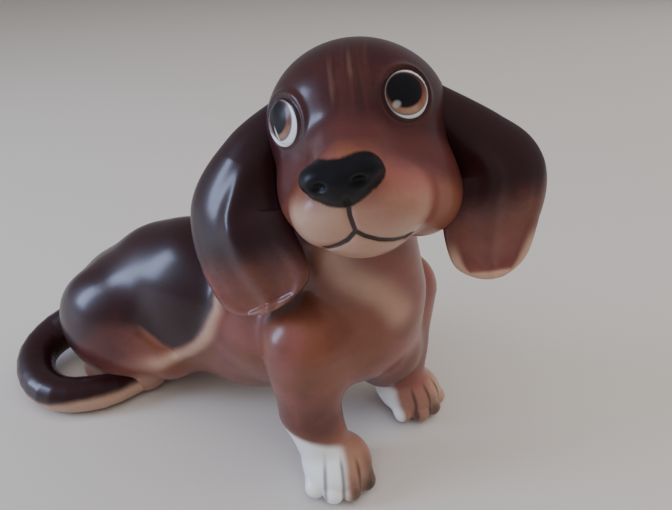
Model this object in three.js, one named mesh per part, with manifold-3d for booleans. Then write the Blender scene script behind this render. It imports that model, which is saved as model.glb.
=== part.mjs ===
// Glazed ceramic dog figurine: a long-eared puppy that sits on its haunches, propped on
// straight forelegs, with its head turned to its right. Millimetres, +Z up.
// The dog faces -Y, its left side is +X, and everything stands on the plane z = 0.
// The pieces are slip-cast and luted together with slip, so a fine joint separates them.
import * as THREE from 'three';
import { mergeVertices } from 'three/addons/utils/BufferGeometryUtils.js';
import Module from 'manifold-3d';

const wasm = await Module();
wasm.setup();

// ---- driving dimensions (mm) ----
const WALL = 3.0;            // cast wall of the hollow body and head
const JOINT = 0.3;           // slip joint between two luted pieces
const VENT = { x: -12.5, y: 37, radius: 4 };        // drain hole under the seat
const NECK_BORE = { x: 0, y: -32, radius: 7.5, from: 45, to: 84 };
const HEAD = { position: [-2, -35, 81], yaw: -66, pitch: -16.5, roll: -14.5 };

// Body: [centre, radii, blend] of each mass, from the chest back to the rump
const NECK = { from: [-1, -31, 66], to: [2, -33, 46], radii: [14, 15.5] };
const BODY = [
  [[2.5, -32, 35.5], [18.5, 15, 14.5], 8],
  [[9.5, -36.5, 24.5], [10, 9.5, 11.5], 6],
  [[-1, -8, 32], [18, 24, 20], 8],
  [[-6, 14, 30.5], [16.5, 20, 22.5], 10],
  [[-9, 28, 25.5], [15.5, 17, 22.5], 12],
  [[-12.5, 39, 18], [14.5, 20, 20.5], 12],
  [[-16, 33, 24], [14, 15, 14], 8],
  [[-4, 6, 20], [12, 24, 15.5], 5],
];
const SPINE = [[-1, -31, 62], [0, -31, 53], [1, -26, 40], [-1, -8, 31], [-6, 14, 27], [-11, 33, 20]];

// Head, in its own axes: the face looks along -Y, the ears leave at +-X
const SKULL = [
  [[-0.6, 5, 6], [19.2, 19, 16.2], 1],
  [[0, -4, 9], [14.5, 11.5, 11.8], 6],
  [[8.6, -3, -6], [9.2, 12, 10.5], 6],
  [[-8.6, -3, -6], [9.2, 12, 10.5], 6],
  [[10.5, -1, -11], [8, 10, 8], 6],
  [[0, -12, -9], [12.5, 12, 9], 7],
  [[5.7, -16.6, -9.3], [7.2, 7.6, 6.3], 5],
  [[-4.7, -16.6, -9.3], [7.2, 7.6, 6.3], 5],
  [[0.4, -13, -14.8], [7.6, 8.8, 4.6], 3],
];
const BRIDGE = { from: [0, -6, 4], to: [0, -21, -3], radii: [8, 6] };
const NOSE = [
  [[-3.6, -24.2, -2.8], [3.8, 4, 3.1], 1],
  [[3.1, -24.2, -2.8], [3.7, 4, 3.1], 1],
  [[-0.3, -24.2, -3], [4.6, 4, 3.1], 2],
  [[-0.2, -24.2, -5], [4, 3.7, 3], 3],
];
const EYE = { x: 10.7, y: -9.9, z: 8, radii: [5.4, 2.7, 4.9], yaw: 38 };   // a lens set in the brow
const SKULL_CENTRE = [0, -4, -2];

// Ears: centre line and half widths of the hanging flap, in the head's axes
const FLAP = { thickness: 2.0, bow: 3.0 };
const EARS = {
  right: { side: -1, width: [4.5, 7.2, 11.6, 12.7, 11.9, 7.4],
    path: [[-13.5, 2, 10.5], [-22.8, -1, 3], [-28.2, -3, -7], [-27.2, -5, -16], [-24.5, -6, -24],
      [-23, -6.5, -29]] },
  left: { side: 1, width: [4.5, 7, 9.9, 10.2, 8.4, 5],
    path: [[13.5, 3, 8.5], [23.3, 3, -1.5], [26, 2.5, -9], [23.6, 2, -17], [21.9, 1, -25],
      [21.3, 0.5, -30.8]] },
};

// Legs: [shoulder, elbow, wrist] with a radius at each, and the middle of the paw with its turn in degrees
const FORELEGS = {
  right: { line: [[-15, -29.5, 38], [-16.3, -31, 20], [-16, -35.5, 9]], radii: [10.9, 7.1, 6.3],
    paw: [-15.5, -38.5], yaw: -45 },
  left: { line: [[18.5, -33, 36], [17, -35, 20], [16.5, -37.5, 9]], radii: [10.5, 8.8, 7.3],
    paw: [18, -40.3], yaw: -20 },
};
const TOES = [[-6.1, 4.8], [-2.1, 7.2], [2.1, 7.2], [6.1, 4.8]];   // across the paw, and how far ahead the tip is
const HIND_LEGS = {
  right: { hip: [-23, 37, 20], yaw: 8, knee: [-18.5, 17, 15], hock: [-26, 42, 4.5], toe: [-21, 27, 5] },
  left: { hip: [-1, 37, 18], yaw: -12, knee: [7.5, 18, 12], hock: [5, 42, 5], toe: [11, 20, 4.5] },
};
const HAUNCH = [10.5, 16, 16.5];
const TAIL = {
  path: [[-17, 55, 13], [-26, 61, 9.5], [-35, 59.5, 7], [-40.5, 51, 5.5], [-40.5, 40, 5], [-33, 31.5, 4.8],
    [-23, 27, 4.4]],
  radii: [7, 6, 5.4, 5.1, 5, 4.8, 3.4],
};

// ---- rounded masses as distance functions ----
const clamp = (v, low, high) => Math.min(high, Math.max(low, v));
const radians = THREE.MathUtils.degToRad;

// Two surfaces run together in a fillet about k wide
function blend(a, b, k) {
  const h = Math.max(k - Math.abs(a - b), 0) / k;
  return Math.min(a, b) - h * h * h * k / 6;
}
// An egg-shaped mass, turned by yaw degrees about Z
function egg([cx, cy, cz], [rx, ry, rz], yaw = 0) {
  const c = Math.cos(radians(yaw)), s = Math.sin(radians(yaw));
  return (p) => {
    const dx = p.x - cx, dy = p.y - cy, z = p.z - cz;
    const x = c * dx + s * dy, y = -s * dx + c * dy;
    const k0 = Math.hypot(x / rx, y / ry, z / rz);
    const k1 = Math.hypot(x / rx ** 2, y / ry ** 2, z / rz ** 2);
    return k0 * (k0 - 1) / Math.max(k1, 1e-9);
  };
}
// A round limb from a to b whose radius runs from ra to rb
function limb(a, b, ra, rb) {
  const A = new THREE.Vector3(...a), AB = new THREE.Vector3(...b).sub(A), q = new THREE.Vector3();
  return (p) => {
    q.copy(p).sub(A);
    const t = clamp(q.dot(AB) / AB.lengthSq(), 0, 1);
    return q.addScaledVector(AB, -t).length() - (ra + (rb - ra) * t);
  };
}
// Every mass of a list, blended in order
function masses(list) {
  const parts = list.map(([field, k]) => ({ field, k }));
  return (p) => parts.reduce((d, { field, k }) => blend(d, field(p), k), 1e3);
}

const bodyField = masses([
  [limb(NECK.from, NECK.to, ...NECK.radii), 1],
  ...BODY.map(([centre, radii, k]) => [egg(centre, radii), k]),
]);
const headField = masses([
  ...SKULL.map(([centre, radii, k]) => [egg(centre, radii), k]),
  [limb(BRIDGE.from, BRIDGE.to, ...BRIDGE.radii), 6],
  ...[-1, 1].map((side) => [egg([EYE.x * side, EYE.y, EYE.z], EYE.radii, EYE.yaw * side), 0.6]),
  ...NOSE.map(([centre, radii, k]) => [egg(centre, radii), k]),
]);
function forelegField({ line, radii, paw: [px, py], yaw }) {
  const c = Math.cos(radians(yaw)), s = Math.sin(radians(yaw));
  const onPaw = (across, ahead, z) => [px + c * across + s * ahead, py + s * across - c * ahead, z];
  return masses([
    [limb(line[0], line[1], radii[0], radii[1]), 1],
    [limb(line[1], line[2], radii[1], radii[2]), 3],
    [egg([px, py, 5.6], [8.6, 8.8, 6.2], yaw), 2.5],
    ...TOES.map(([x, reach]) => [limb(onPaw(0.8 * x, 0.5, 6), onPaw(x, reach, 3.2), 3, 2.6), 0.8]),
  ]);
}
function hindField({ hip, yaw, knee, hock, toe }) {
  return masses([
    [egg(hip, HAUNCH, yaw), 1],
    [limb(hip, knee, 9, 6.5), 6],
    [limb(knee, hock, 4.6, 4.2), 1.6],
    [limb(hock, toe, 4.4, 4.8), 2],
  ]);
}

// ---- closed skins ----
// A smooth curve through the points at t = 0..1
function along(points, t) {
  const curve = new THREE.CatmullRomCurve3(points.map((p) => new THREE.Vector3(...p)), false, 'centripetal');
  return curve.getPoint(t);
}
function ramp(values, t) {
  const s = clamp(t, 0, 1) * (values.length - 1), i = Math.min(Math.floor(s), values.length - 2);
  return values[i] + (values[i + 1] - values[i]) * (s - i);
}
// Rings of points between two poles, joined into one closed geometry
function closedSkin(first, rings, last) {
  const n = rings[0].length, positions = [first, ...rings.flat(), last].flatMap((p) => p.toArray());
  const index = [], at = (i, j) => 1 + i * n + (j % n), end = 1 + rings.length * n;
  for (let j = 0; j < n; j++) {
    index.push(0, at(0, j + 1), at(0, j));
    index.push(end, at(rings.length - 1, j), at(rings.length - 1, j + 1));
    for (let i = 0; i + 1 < rings.length; i++) {
      index.push(at(i, j), at(i, j + 1), at(i + 1, j + 1), at(i, j), at(i + 1, j + 1), at(i + 1, j));
    }
  }
  const geometry = new THREE.BufferGeometry();
  geometry.setAttribute('position', new THREE.Float32BufferAttribute(positions, 3));
  geometry.setIndex(index);
  return geometry;
}
// Walk out from a point inside the mass to where its surface stands `offset` outside
function surfacePoint(field, from, direction, offset) {
  const p = new THREE.Vector3();
  let r = 2;
  for (let step = 0; step < 70; step++) {
    p.copy(from).addScaledVector(direction, r);
    r = clamp(r - 0.8 * (field(p) - offset), 0.1, 70);
  }
  return p.copy(from).addScaledVector(direction, r);
}
// The skin of a mass: rays leave its spine all round, and fan out over both ends.
// crowd packs the columns towards the front (-Y).
function wrap(field, spine, { rows, columns, offset = 0, crowd = 0, fan = 0.5, up = [0, 0, 1] }) {
  const point = (t) => (spine.length > 1 ? along(spine, clamp(t, 0, 1)) : new THREE.Vector3(...spine[0]));
  const rings = [];
  let poles = [];
  for (let i = 0; i <= rows + 1; i++) {
    const v = i / (rows + 1);
    const tilt = fan >= 0.5 ? (v - 0.5) * Math.PI
      : v < fan ? (v / fan - 1) * Math.PI / 2 : v > 1 - fan ? (v - 1 + fan) / fan * Math.PI / 2 : 0;
    const t = spine.length > 1 ? clamp((v - fan) / (1 - 2 * fan), 0, 1) : 0;
    const centre = point(t);
    const axis = spine.length > 1
      ? point(Math.min(t + 0.02, 1)).sub(point(Math.max(t - 0.02, 0))).normalize() : new THREE.Vector3(...up);
    const side = Math.abs(axis.x) < 0.9 ? new THREE.Vector3(1, 0, 0) : new THREE.Vector3(0, 1, 0);
    const across = side.addScaledVector(axis, -side.dot(axis)).normalize();
    const other = new THREE.Vector3().crossVectors(axis, across);
    if (i === 0 || i === rows + 1) {
      poles.push(surfacePoint(field, centre, axis.clone().multiplyScalar(i === 0 ? -1 : 1), offset));
      continue;
    }
    const ring = [];
    for (let j = 0; j < columns; j++) {
      const u = 2 * Math.PI * j / columns, a = u + crowd * Math.sin(u) + Math.PI / 2;
      const direction = across.clone().multiplyScalar(Math.cos(a) * Math.cos(tilt))
        .addScaledVector(other, Math.sin(a) * Math.cos(tilt)).addScaledVector(axis, Math.sin(tilt));
      ring.push(surfacePoint(field, centre, direction, offset));
    }
    rings.push(ring);
  }
  return closedSkin(poles[0], rings, poles[1]);
}
// A round tube with dome ends
function tube({ path, radii }, rows, columns) {
  const rings = [];
  const frame = (t) => {
    const axis = along(path, Math.min(t + 0.01, 1)).sub(along(path, Math.max(t - 0.01, 0))).normalize();
    const across = new THREE.Vector3().crossVectors(axis, new THREE.Vector3(0, 0, 1)).normalize();
    return { centre: along(path, t), axis, across, other: new THREE.Vector3().crossVectors(across, axis) };
  };
  for (let i = 0; i < rows; i++) {
    const t = i / (rows - 1), { centre, axis, across, other } = frame(t);
    const dome = i === 0 || i === rows - 1 ? 0.7 : 1, radius = ramp(radii, t) * dome;
    if (dome < 1) centre.addScaledVector(axis, (i === 0 ? -1 : 1) * 0.55 * radius);
    rings.push(Array.from({ length: columns }, (_, j) => {
      const a = 2 * Math.PI * j / columns;
      return centre.clone().addScaledVector(across, radius * Math.cos(a)).addScaledVector(other, radius * Math.sin(a));
    }));
  }
  const first = frame(0), last = frame(1);
  return closedSkin(first.centre.addScaledVector(first.axis, -radii[0] * 0.75), rings,
    last.centre.addScaledVector(last.axis, radii[radii.length - 1] * 0.9));
}
// A hanging ear: a bowed flap with a rounded rim, wide in the middle and round at the tip
function flap({ side, path, width }, rows, columns, swell = 0) {
  const rings = [], faceWay = new THREE.Vector3(0.25 * side, -1, 0);
  const frame = (t) => {
    const axis = along(path, Math.min(t + 0.01, 1)).sub(along(path, Math.max(t - 0.01, 0))).normalize();
    const across = new THREE.Vector3().crossVectors(axis, faceWay).normalize();
    return { centre: along(path, t), axis, across, out: new THREE.Vector3().crossVectors(across, axis) };
  };
  for (let i = 0; i < rows; i++) {
    const t = i / (rows - 1) * 0.985, { centre, across, out } = frame(t);
    const tip = Math.sqrt(1 - clamp((t - 0.85) / 0.15, 0, 1) ** 2.5), half = ramp(width, t) * tip + swell;
    const body = Math.min(1, half / 3) * (FLAP.thickness + swell), bow = FLAP.bow * Math.min(1, half / 8);
    rings.push(Array.from({ length: columns }, (_, j) => {
      const a = 2 * Math.PI * j / columns, u = Math.cos(a), v = Math.sin(a);
      const lift = bow * (1 - u * u) + body * Math.sign(v) * Math.abs(v) ** 0.8;
      return centre.clone().addScaledVector(across, half * u).addScaledVector(out, lift);
    }));
  }
  const first = frame(0), last = frame(1);
  return closedSkin(first.centre.addScaledVector(first.axis, -1.5), rings, last.centre);
}

// ---- solids ----
function toManifold(geometry) {
  const bare = new THREE.BufferGeometry();
  bare.setAttribute('position', geometry.attributes.position.clone());
  if (geometry.index) bare.setIndex(geometry.index.clone());
  const merged = mergeVertices(bare, 1e-4);
  const vertProperties = new Float32Array(merged.attributes.position.array);
  const make = (triVerts) => new wasm.Manifold(new wasm.Mesh({ numProp: 3, vertProperties, triVerts }));
  const triVerts = new Uint32Array(merged.index.array);
  const solid = make(triVerts);
  if (solid.volume() > 0) return solid;
  for (let i = 0; i < triVerts.length; i += 3) [triVerts[i], triVerts[i + 1]] = [triVerts[i + 1], triVerts[i]];
  return make(triVerts);
}
function toGeometry(solid) {
  const mesh = solid.getMesh(), positions = new Float32Array(mesh.numVert * 3);
  for (let i = 0; i < mesh.numVert; i++) {
    for (let k = 0; k < 3; k++) positions[3 * i + k] = mesh.vertProperties[i * mesh.numProp + k];
  }
  const geometry = new THREE.BufferGeometry();
  geometry.setAttribute('position', new THREE.BufferAttribute(positions, 3));
  geometry.setIndex(new THREE.BufferAttribute(new Uint32Array(mesh.triVerts), 1));
  geometry.computeVertexNormals();
  return geometry;
}
function post(x, y, radius, from, to) {
  const geometry = new THREE.CylinderGeometry(radius, radius, to - from, 20).rotateX(Math.PI / 2);
  return toManifold(geometry.translate(x, y, (from + to) / 2));
}
const slab = (top) => toManifold(new THREE.BoxGeometry(400, 400, 100).translate(0, 0, top - 50));
const ground = slab(0);

// The head's place on the body
const headPlace = new THREE.Matrix4().compose(
  new THREE.Vector3(...HEAD.position),
  new THREE.Quaternion().setFromEuler(
    new THREE.Euler(radians(HEAD.pitch), radians(HEAD.roll), radians(HEAD.yaw), 'ZXY')),
  new THREE.Vector3(1, 1, 1));
const toHead = (solid) => solid.transform(headPlace.clone().invert().toArray());
const toBody = (solid) => solid.transform(headPlace.toArray());

const headSkin = (offset, rows, columns) =>
  toManifold(wrap(headField, [SKULL_CENTRE], { rows, columns, offset, crowd: 0.4 }));
const bodySkin = (offset, rows, columns) => toManifold(wrap(bodyField, SPINE, { rows, columns, offset, fan: 0.2 }));

const headOuter = headSkin(0, 32, 44);
const headClear = headSkin(JOINT, 32, 44);
const bodyOuter = bodySkin(0, 28, 26);
const bodyClear = bodySkin(JOINT, 28, 26);

// Torso: cast shell with a drain hole in the seat, open at the neck under the head
const bodyHollow = bodySkin(-WALL, 16, 18).subtract(slab(WALL));
const torso = bodyOuter.subtract(ground).subtract(bodyHollow)
  .subtract(toBody(headClear))
  .subtract(post(VENT.x, VENT.y, VENT.radius, -5, 9));

// Head: cast shell, open below where it sits on the neck
const neckBore = toHead(post(NECK_BORE.x, NECK_BORE.y, NECK_BORE.radius, NECK_BORE.from, NECK_BORE.to));
const head = headOuter.subtract(headSkin(-WALL, 14, 18)).subtract(neckBore);

const forelegSkin = (leg, offset) => {
  const [, elbow, wrist] = leg.line, top = leg.line[0];
  const spine = [[...leg.paw, 5], [wrist[0], wrist[1] - 1, 10], elbow, [top[0], top[1], top[2] - 2]];
  return toManifold(wrap(forelegField(leg), spine, { rows: 18, columns: 24, offset, fan: 0.25, crowd: 0.45 }));
};
const hindSkin = (leg, offset) => {
  const start = leg.hip.map((v, i) => (0.55 * v + 0.45 * leg.knee[i]) * (i === 2 ? 0.7 : 1));
  return toManifold(wrap(hindField(leg), [start], { rows: 18, columns: 24, offset }));
};
const foreleg = (side) => forelegSkin(FORELEGS[side], 0).subtract(ground).subtract(bodyClear);
const hindLeg = (side) => hindSkin(HIND_LEGS[side], 0).subtract(ground).subtract(bodyClear);

const tail = toManifold(tube(TAIL, 24, 14)).subtract(ground).subtract(bodyClear)
  .subtract(hindSkin(HIND_LEGS.right, JOINT));
const earSolid = (side) => toManifold(flap(EARS[side], 14, 18)).subtract(headClear)
  .subtract(toHead(bodyClear)).subtract(toHead(forelegSkin(FORELEGS[side], JOINT)));

// ---- scene graph ----
const GLAZE = { roughness: 0.28, metalness: 0 };
const glazes = {
  brown: new THREE.MeshStandardMaterial({ ...GLAZE, name: 'russet_glaze', color: '#8c5a48' }),
  dark: new THREE.MeshStandardMaterial({ ...GLAZE, name: 'chocolate_glaze', color: '#4a2a2a' }),
  tan: new THREE.MeshStandardMaterial({ ...GLAZE, name: 'tan_glaze', color: '#b07d5e' }),
};
function piece(name, solid, material) {
  const mesh = new THREE.Mesh(toGeometry(solid), material);
  mesh.name = name;
  return mesh;
}

const dog = new THREE.Group();
dog.name = 'dog';
const headGroup = new THREE.Group();
headGroup.name = 'head_turn';
headPlace.decompose(headGroup.position, headGroup.quaternion, headGroup.scale);
headGroup.add(piece('head', head, glazes.brown));
headGroup.add(piece('left_ear', earSolid('left'), glazes.dark));
headGroup.add(piece('right_ear', earSolid('right'), glazes.dark));
dog.add(piece('torso', torso, glazes.brown), headGroup);
dog.add(piece('left_foreleg', foreleg('left'), glazes.tan));
dog.add(piece('right_foreleg', foreleg('right'), glazes.tan));
dog.add(piece('left_hind_leg', hindLeg('left'), glazes.brown));
dog.add(piece('right_hind_leg', hindLeg('right'), glazes.brown));
dog.add(piece('tail', tail, glazes.dark));

// Stand the figurine centred over the origin
dog.updateMatrixWorld(true);
const box = new THREE.Box3().setFromObject(dog, true);
dog.position.set(-(box.min.x + box.max.x) / 2, -(box.min.y + box.max.y) / 2, -box.min.z);

const model = new THREE.Group();
model.name = 'dog_figurine';
model.add(dog);
export default model;
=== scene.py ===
"""Glazed ceramic puppy: it sits on its haunches, propped on straight forelegs, head turned aside."""

import math

import bpy
import numpy as np
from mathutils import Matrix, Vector


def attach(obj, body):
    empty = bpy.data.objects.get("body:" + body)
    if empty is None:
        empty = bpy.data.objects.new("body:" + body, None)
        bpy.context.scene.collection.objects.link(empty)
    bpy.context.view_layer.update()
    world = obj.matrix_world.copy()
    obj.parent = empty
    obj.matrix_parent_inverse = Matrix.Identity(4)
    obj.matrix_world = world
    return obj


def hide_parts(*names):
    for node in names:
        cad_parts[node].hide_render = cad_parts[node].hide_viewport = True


bl_info = {
    "name": "Ceramic Puppy",
    "version": (1, 0, 0),
    "blender": (4, 5, 0),
    "location": "3D View > Sidebar > Puppy",
    "description": "Models a glazed ceramic puppy piece by piece over its packed solids",
    "category": "Add Mesh",
}

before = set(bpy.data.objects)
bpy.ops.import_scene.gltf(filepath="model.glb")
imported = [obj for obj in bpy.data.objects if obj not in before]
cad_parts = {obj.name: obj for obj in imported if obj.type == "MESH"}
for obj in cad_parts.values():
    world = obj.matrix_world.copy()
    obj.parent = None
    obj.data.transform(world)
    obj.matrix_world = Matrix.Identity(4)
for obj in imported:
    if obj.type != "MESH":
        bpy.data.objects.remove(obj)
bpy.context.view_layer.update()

MM = 0.001
# Where the figurine's own axes (chest towards -Y, its left at +X, millimetres) stand in the frame
STAND = np.array([8.714, 0.806, 0.0])
BODY = "root"

# ---- the figurine's masses, in millimetres: centre, radii, width of the blend into the rest ----
NECK = ((-1, -31, 66), (2, -33, 46), 14.0, 15.5)
TORSO_MASSES = (
    ((2.5, -32, 35.5), (18.5, 15, 14.5), 8),
    ((9.5, -36.5, 24.5), (10, 9.5, 11.5), 6),
    ((-1, -8, 32), (18, 24, 20), 8),
    ((-6, 14, 30.5), (16.5, 20, 22.5), 10),
    ((-9, 28, 25.5), (15.5, 17, 22.5), 12),
    ((-12.5, 39, 18), (14.5, 20, 20.5), 12),
    ((-16, 33, 24), (14, 15, 14), 8),
    ((-4, 6, 20), (12, 24, 15.5), 5),
)
# The fold down the flank, the line where paint alone carries it on over the shin, and the knee's crease
FLANK_FOLD = ((-15.4, -4, 44.5), (-18.5, -5, 39), (-20.2, -2, 31.3), (-20.4, 1.4, 26.7), (-20.8, 6, 22.5),
              (-21.8, 10.5, 19.6), (-24, 14, 17.4))
FOLD_TAIL = ((-26, 20, 16.2), (-28, 29, 14))
KNEE_CREASE = ((-22, 11, 20.8), (-23.4, 14.3, 22.3), (-24.6, 16.8, 24.4), (-25.6, 19, 26.6))
# The line that the rays of the torso's skin leave
TORSO_SPINE = ((-1, -31, 62), (0, -31, 53), (1, -26, 40), (-1, -8, 31), (-6, 14, 27), (-11, 33, 20))

# The head, in its own axes from here on: the face looks along -Y from HEAD_PLACE
HEAD_PLACE = (-2, -35, 81)
SKULL_CENTRE = (0, -4, -2)
EYE_POLE = (12.4, -12.0, 8.0)
EYE_YAW = 38
EYE_RADII = (5.4, 2.7, 4.9)

# Limbs by side: -1 the puppy's right, 1 its left; yaw in degrees
FORELEGS = {
    -1: {"line": ((-15, -29.5, 38), (-16.3, -31, 20), (-16, -35.5, 9)), "radii": (10.9, 7.1, 6.3),
         "paw": (-15.5, -38.5), "yaw": -45},
    1: {"line": ((20.3, -33.4, 36), (17.5, -35.2, 20), (16.5, -37.5, 9)), "radii": (10.5, 8.6, 7.2),
        "paw": (18.0, -40.3), "yaw": -20},
}
# Widths of the blends where the pieces meet
NECK_BLEND, HAUNCH_BLEND, RUMP_BLEND = 6.0, 8.0, 4.0
SHOULDER_BLEND = {-1: 7.0, 1: 3.5}
# Each toe's place across the paw and how far ahead it reaches
TOES = ((-6.1, 4.8), (-2.1, 7.2), (2.1, 7.2), (6.1, 4.8))
HIND_LEGS = {
    -1: {"hip": (-23, 37, 20), "yaw": 8, "knee": (-18.5, 17, 15), "hock": (-26, 42, 4.5),
         "toe": (-21, 27, 5)},
    1: {"hip": (-1, 37, 18), "yaw": -12, "knee": (7.5, 18, 12), "hock": (5, 42, 5),
        "toe": (11, 20, 4.5)},
}
HAUNCH_RADII = (10.5, 16, 16.5)
TAIL_PATH = ((-17, 55, 13), (-26, 61, 9.5), (-35, 59.5, 7), (-40.5, 51, 5.5), (-40.5, 40, 5),
             (-33, 31.5, 4.8), (-23, 27, 4.4))
TAIL_RADII = (7, 6, 5.4, 5.1, 5, 4.8, 3.4)
EARS = {
    -1: {"path": ((-13.5, 2, 10.5), (-22.8, -1, 3), (-28.2, -3, -7), (-27.2, -5, -16), (-24.5, -6, -24),
                  (-23, -6.5, -29)),
         "width": (4.5, 7.2, 11.6, 12.7, 11.9, 7.4)},
    1: {"path": ((13.5, 3, 7.5), (22.9, 3, -2.7), (26.0, 2.5, -9.5), (23.6, 2, -17), (21.9, 1, -25),
                 (21.3, 0.5, -30.8)),
        "width": (4.5, 7.0, 9.9, 10.2, 8.4, 5.0)},
}


# ---- sizes and colours a user would change ----
class PuppySizes(bpy.types.PropertyGroup):
    """Turn of the head and fineness of the meshes."""
    head_turn: bpy.props.FloatProperty(name="Head Turn", description="Turn of the head to the puppy's right",
                                       default=math.radians(66), subtype="ANGLE")
    head_lift: bpy.props.FloatProperty(name="Head Lift", description="Lift of the muzzle above level",
                                       default=math.radians(16.5), subtype="ANGLE")
    head_tilt: bpy.props.FloatProperty(name="Head Tilt", description="Tilt of the head over to one side",
                                       default=math.radians(14.5), subtype="ANGLE")
    fineness: bpy.props.FloatProperty(name="Fineness", default=1.0, min=0.2, max=1.5,
                                      description="Share of the full number of rings and columns")


def stain(name, description, colour):
    """A colour setting."""
    return bpy.props.FloatVectorProperty(name=name, description=description, default=colour, size=3,
                                         subtype="COLOR")


class PuppyGlaze(bpy.types.PropertyGroup):
    """Colours of the airbrushed stains under the clear glaze."""
    chocolate: stain("Chocolate", "Dark stain of the back, crown and ears", (0.023, 0.0050, 0.0064))
    rose: stain("Rose", "Pinkish blotches where the tan stain is thin", (0.285, 0.088, 0.080))
    russet: stain("Russet", "Red-brown between the dark stain and the tan", (0.092, 0.0230, 0.0200))
    tan: stain("Tan", "Warm stain of the belly, legs and cheeks", (0.240, 0.080, 0.043))
    cream: stain("Cream", "Body clay where the stain is thin", (0.50, 0.30, 0.205))
    white: stain("White", "Bare white clay of the paws and the whites of the eyes", (0.90, 0.89, 0.87))
    # This grey-brown also darkens the paws' inner sides and toe tips, where it is partly painted shade
    ink: stain("Ink", "Grey-brown of the lines between the toes", (0.020, 0.016, 0.014))
    black: stain("Black", "Black enamel of nose, mouth and pupils", (0.006, 0.005, 0.007))
    iris: stain("Iris", "Orange-brown of the iris", (0.20, 0.050, 0.022))


# ---- rounded masses as distance functions on arrays of points ----
def smooth_union(a, b, k):
    """The lower of two distances, less h^3 k/6 with h = max(k - |a - b|, 0)/k: their meeting is filleted."""
    h = np.maximum(k - np.abs(a - b), 0.0) / k
    return np.minimum(a, b) - h ** 3 * k / 6


def smooth_cut(a, b, k):
    """The higher of two distances, with the same fillet."""
    return -smooth_union(-a, -b, k)


def egg(p, centre, radii, yaw=0.0):
    """Distance to an egg: k0 (k0 - 1)/k1, k0 and k1 the lengths of (p - centre)/radii and /radii squared."""
    q = p - np.asarray(centre, float)
    if yaw:
        c, s = math.cos(math.radians(yaw)), math.sin(math.radians(yaw))
        q = np.stack([c * q[..., 0] + s * q[..., 1], -s * q[..., 0] + c * q[..., 1], q[..., 2]], -1)
    r = np.asarray(radii, float)
    k0 = np.linalg.norm(q / r, axis=-1)
    return k0 * (k0 - 1) / np.maximum(np.linalg.norm(q / r ** 2, axis=-1), 1e-9)


def limb(p, a, b, ra, rb):
    """Distance to a round limb: from p to the nearest point of the line a-b, less a radius that runs from
    ra to rb."""
    a, b = np.asarray(a, float), np.asarray(b, float)
    t = np.clip(((p - a) @ (b - a)) / ((b - a) @ (b - a)), 0, 1)
    return np.linalg.norm(p - a - t[..., None] * (b - a), axis=-1) - (ra + (rb - ra) * t)


def away_from(p, points):
    """Distance from p to the open line through the points."""
    points = np.asarray(points, float)
    return np.min([limb(p, a, b, 0.0, 0.0) for a, b in zip(points[:-1], points[1:])], axis=0)


def step(x, low, high):
    """0 below low, 1 above high, and 3t^2 - 2t^3 between."""
    t = np.clip((x - low) / (high - low), 0, 1)
    return t * t * (3 - 2 * t)


def through(points, t):
    """Catmull-Rom curve: for t from 0 to 1, the cubic that passes through each point in turn."""
    rows = np.asarray(points, float)
    rows = rows[:, None] if rows.ndim == 1 else rows
    n = len(rows)
    padded = np.vstack([2 * rows[0] - rows[1], rows, 2 * rows[-1] - rows[-2]])
    s = np.clip(np.asarray(t, float) * (n - 1), 0, n - 1 - 1e-9)
    i = s.astype(int)
    f = (s - i)[..., None]
    a, b, c, d = padded[i], padded[i + 1], padded[i + 2], padded[i + 3]
    return 0.5 * (2 * b + (c - a) * f + (2 * a - 5 * b + 4 * c - d) * f ** 2
                  + (3 * b - a - 3 * c + d) * f ** 3)


def head_turn():
    """Rotation of the head: tilt about Y, then lift about X, then turn about Z."""
    sizes = bpy.context.scene.puppy_sizes
    a, b, c = -sizes.head_turn, -sizes.head_lift, -sizes.head_tilt
    turn = np.array([[math.cos(a), -math.sin(a), 0], [math.sin(a), math.cos(a), 0], [0, 0, 1]])
    lift = np.array([[1, 0, 0], [0, math.cos(b), -math.sin(b)], [0, math.sin(b), math.cos(b)]])
    tilt = np.array([[math.cos(c), 0, math.sin(c)], [0, 1, 0], [-math.sin(c), 0, math.cos(c)]])
    return turn @ lift @ tilt


def to_face(p):
    """Points in the head's own axes: the face looks along -Y."""
    return (p - np.asarray(HEAD_PLACE, float)) @ head_turn()


def from_face(p):
    """Points back from the head's own axes: turned, then moved to the head's place."""
    return p @ head_turn().T + np.asarray(HEAD_PLACE, float)


# ---- the masses of each piece ----
MOUTH_LINES = (
    ((0, 0, -7.0), (-0.3, 0, -9.9), (-0.2, 0, -11.7), (-0.1, 0, -12.9)),
    ((-0.1, 0, -12.9), (1.2, 0, -14.1), (3.4, 0, -15.3), (5.6, 0, -16.0), (7.4, 0, -16.2), (8.4, 0, -16.0)),
    ((-0.1, 0, -12.9), (-1.9, 0, -14.3), (-3.5, 0, -14.9), (-5.6, 0, -15.4), (-7.4, 0, -15.6)),
)


def mouth_distance(q):
    """Distance to the mouth's lines seen from in front: x and z only."""
    flat = q * np.array([1.0, 0.0, 1.0])
    return np.min([away_from(flat, line) for line in MOUTH_LINES], axis=0)


def eye_axis(side):
    """The way an eye looks, level: turned EYE_YAW degrees outward from straight ahead."""
    return np.array([side * math.sin(math.radians(EYE_YAW)), -math.cos(math.radians(EYE_YAW)), 0.0])


def eye_egg(q, side, radii, sink):
    """A lens whose foremost point stands `sink` behind the eye's pole."""
    pole = np.array([EYE_POLE[0] * side, EYE_POLE[1], EYE_POLE[2]])
    return egg(q, pole - eye_axis(side) * (radii[1] + sink), radii, side * EYE_YAW)


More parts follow.
